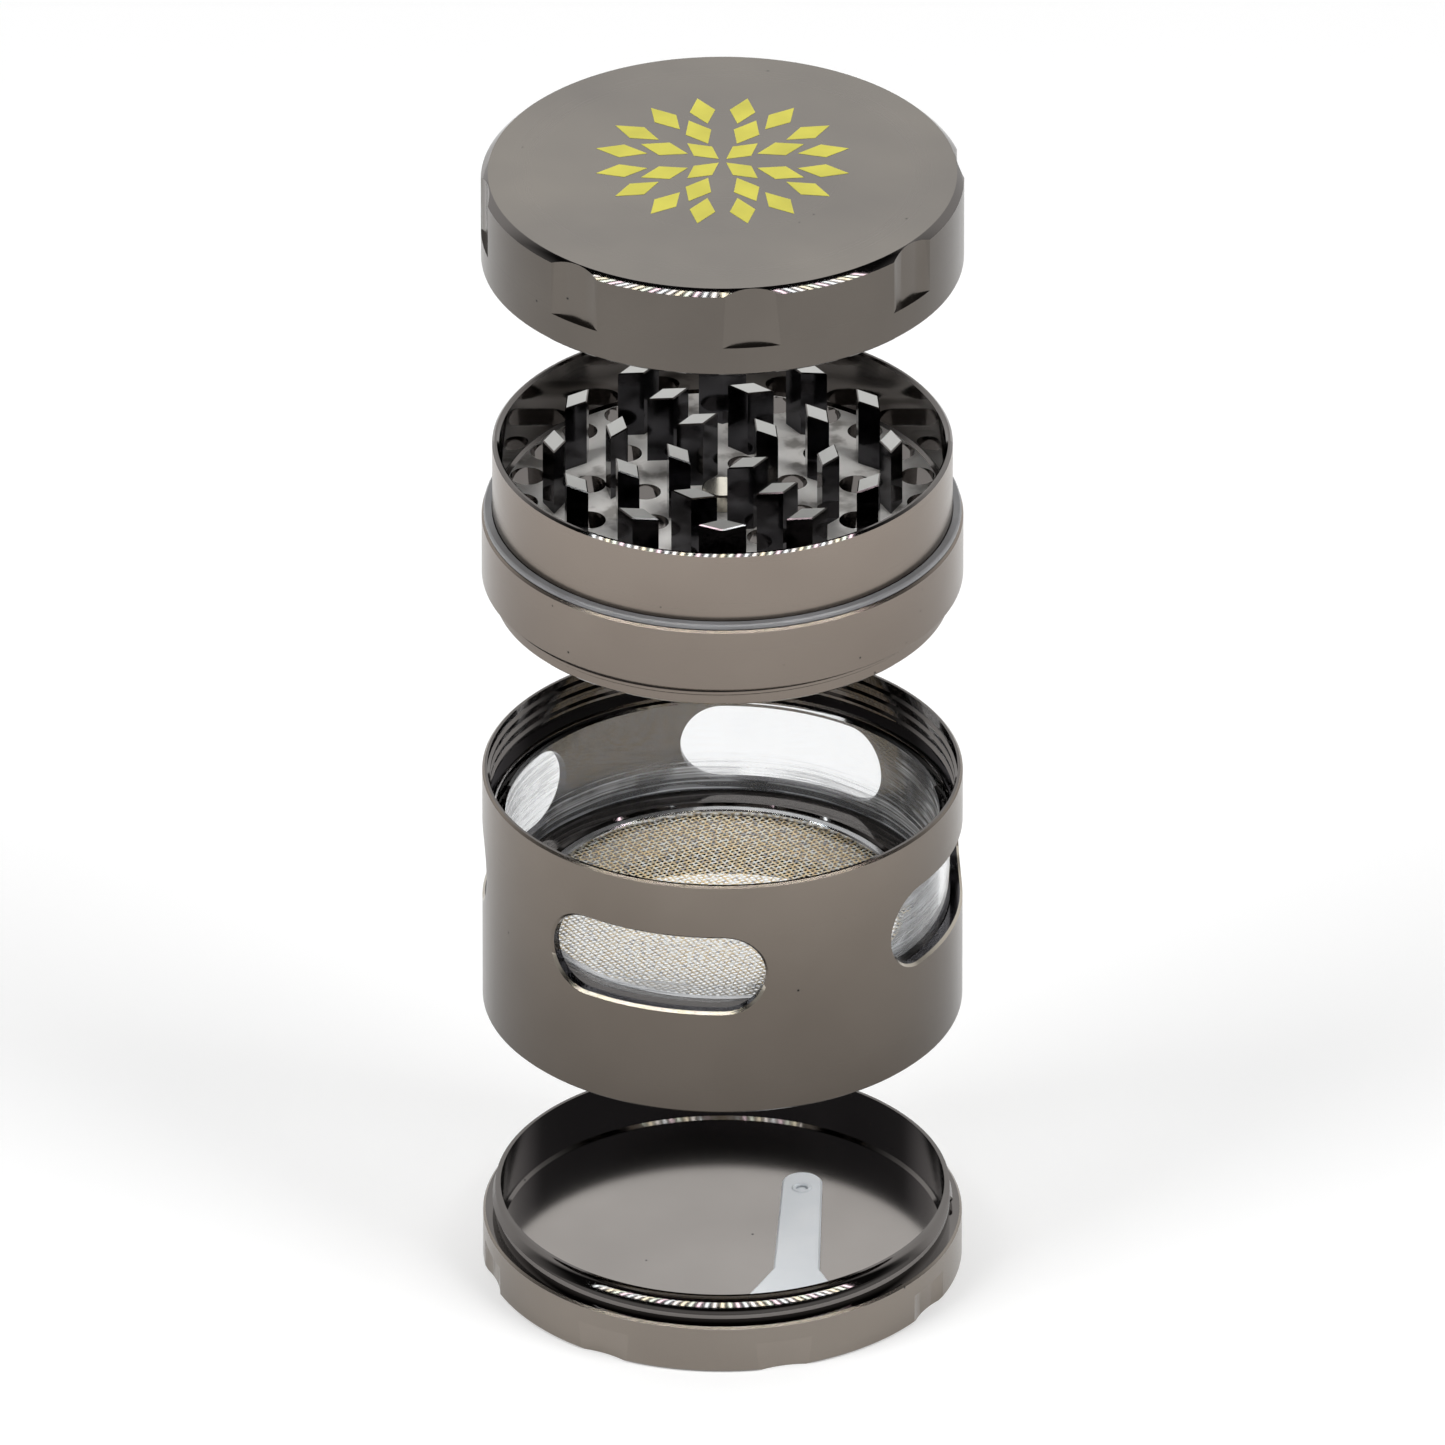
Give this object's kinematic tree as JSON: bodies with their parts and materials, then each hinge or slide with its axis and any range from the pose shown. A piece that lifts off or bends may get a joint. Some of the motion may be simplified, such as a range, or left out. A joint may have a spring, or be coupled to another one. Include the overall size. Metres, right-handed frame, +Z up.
{
  "type": "herb grinder",
  "caption": "Round hand grinder in gunmetal: toothed lid and mill, windowed chamber with a woven screen, and a shallow powder tray, shown lifted apart.",
  "frame": {"origin": "middle of the tray's underside", "axes": "+Z up the common axis of the four sections, -Y towards the front of the picture"},
  "size_m": [0.063, 0.063, 0.1632],
  "materials": {
    "gunmetal": "satin gunmetal plating, bright edges",
    "scraper_plastic": "milky translucent",
    "clear_acrylic": "clear, polished",
    "screen_wire": "plain woven wire",
    "spring_steel": "bright",
    "magnet_nickel": "nickel plated",
    "glide_nylon": "clear nylon, slippery"
  },
  "bodies": {
    "tray": {"tray": "gunmetal"},
    "scraper": {"scraper": "scraper_plastic"},
    "screen": {"screen_mesh": "screen_wire", "snap_ring": "spring_steel"},
    "chamber": {"chamber_shell": "gunmetal", "window_sleeve": "clear_acrylic"},
    "mill_post": {"mill_magnet": "magnet_nickel"},
    "mill": {"mill_body": "gunmetal", "glide_ring": "glide_nylon"},
    "lid_post": {"lid_magnet": "magnet_nickel"},
    "lid": {"lid_body": "gunmetal"}
  },
  "joints": [
    {"name": "scraper_lift", "type": "slide", "parent": "tray", "child": "scraper", "axis": [0, 0, 1], "range_m": [0, 0.012]},
    {"name": "chamber_lift", "type": "slide", "parent": "tray", "child": "screen", "axis": [0, 0, 1], "range_m": [-0.0325, 0]},
    {"name": "chamber_turn", "type": "hinge", "parent": "screen", "child": "chamber", "pos_m": [0, 0, 0], "axis": [0, 0, 1], "continuous": true},
    {"name": "mill_lift", "type": "slide", "parent": "chamber", "child": "mill_post", "axis": [0, 0, 1], "range_m": [-0.0294, 0]},
    {"name": "mill_turn", "type": "hinge", "parent": "mill_post", "child": "mill", "pos_m": [0, 0, 0], "axis": [0, 0, 1], "continuous": true},
    {"name": "lid_lift", "type": "slide", "parent": "mill", "child": "lid_post", "axis": [0, 0, 1], "range_m": [-0.0375, 0]},
    {"name": "lid_turn", "type": "hinge", "parent": "lid_post", "child": "lid", "pos_m": [0, 0, 0], "axis": [0, 0, 1], "continuous": true}
  ]
}
